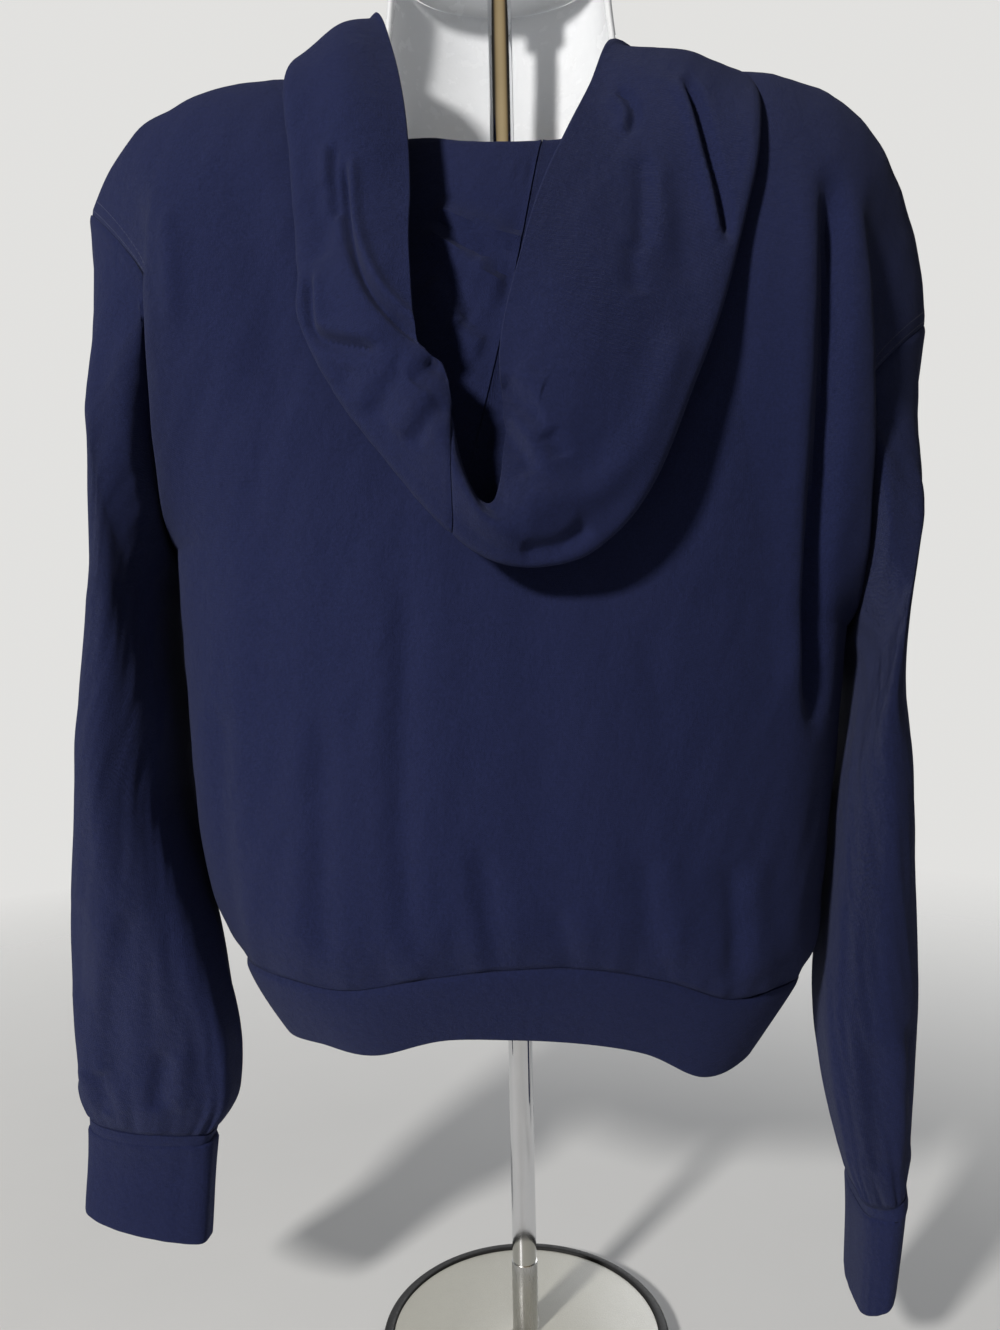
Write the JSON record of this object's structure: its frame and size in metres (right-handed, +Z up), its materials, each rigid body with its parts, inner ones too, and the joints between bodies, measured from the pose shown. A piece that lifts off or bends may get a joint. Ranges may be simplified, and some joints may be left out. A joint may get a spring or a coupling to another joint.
{
  "type": "zip-up hooded sweatshirt on a hollow-backed dress form and stand",
  "caption": "Cropped drop-shoulder hoodie with a full front zip and its hood hanging open down the back, worn by a hollow-backed torso form on a round-based pole.",
  "frame": {"origin": "centre of the base's underside, on the pole's axis", "axes": "+Z up along the pole; -Y the way the garment's front faces; +X the wearer's left"},
  "size_m": [0.5373, 0.2855, 0.8968],
  "materials": {
    "hoodie_cloth": "matte navy loop-backed sweatshirt knit",
    "self_fabric_band": "the same knit, doubled",
    "zip_tape": "woven navy tape",
    "zip_teeth": "satin moulded teeth",
    "zip_metal": "satin plated",
    "white_plastic": "smooth white moulded shell",
    "painted_base": "warm light grey",
    "rubber_rim": "matte black",
    "chrome": "polished"
  },
  "bodies": {
    "stand_and_garment": {"back": "hoodie_cloth", "front_left": "hoodie_cloth", "front_right": "hoodie_cloth", "sleeve_left": "hoodie_cloth", "sleeve_right": "hoodie_cloth", "hood_left": "hoodie_cloth", "hood_right_crown": "hoodie_cloth", "hood_right": "hoodie_cloth", "hem_band": "self_fabric_band", "cuff_left": "self_fabric_band", "cuff_right": "self_fabric_band", "zip_tape_left": "zip_tape", "zip_tape_right": "zip_tape", "zip_chain": "zip_teeth", "zip_slider": "zip_metal", "zip_box": "zip_metal", "form_shell": "white_plastic", "neck_cap": "white_plastic", "base_disc": "painted_base", "base_rim": "rubber_rim", "pole": "chrome", "neck_collar": "chrome", "pole_knob": "chrome"},
    "pull_tab": {"zip_pull_tab": "zip_metal"}
  },
  "joints": [
    {"name": "pull_tab_hinge", "type": "hinge", "parent": "stand_and_garment", "child": "pull_tab", "pos_m": [0, -0.10806, 0.70208], "axis": [-1, 0, 0], "range_deg": [0, 150]}
  ]
}
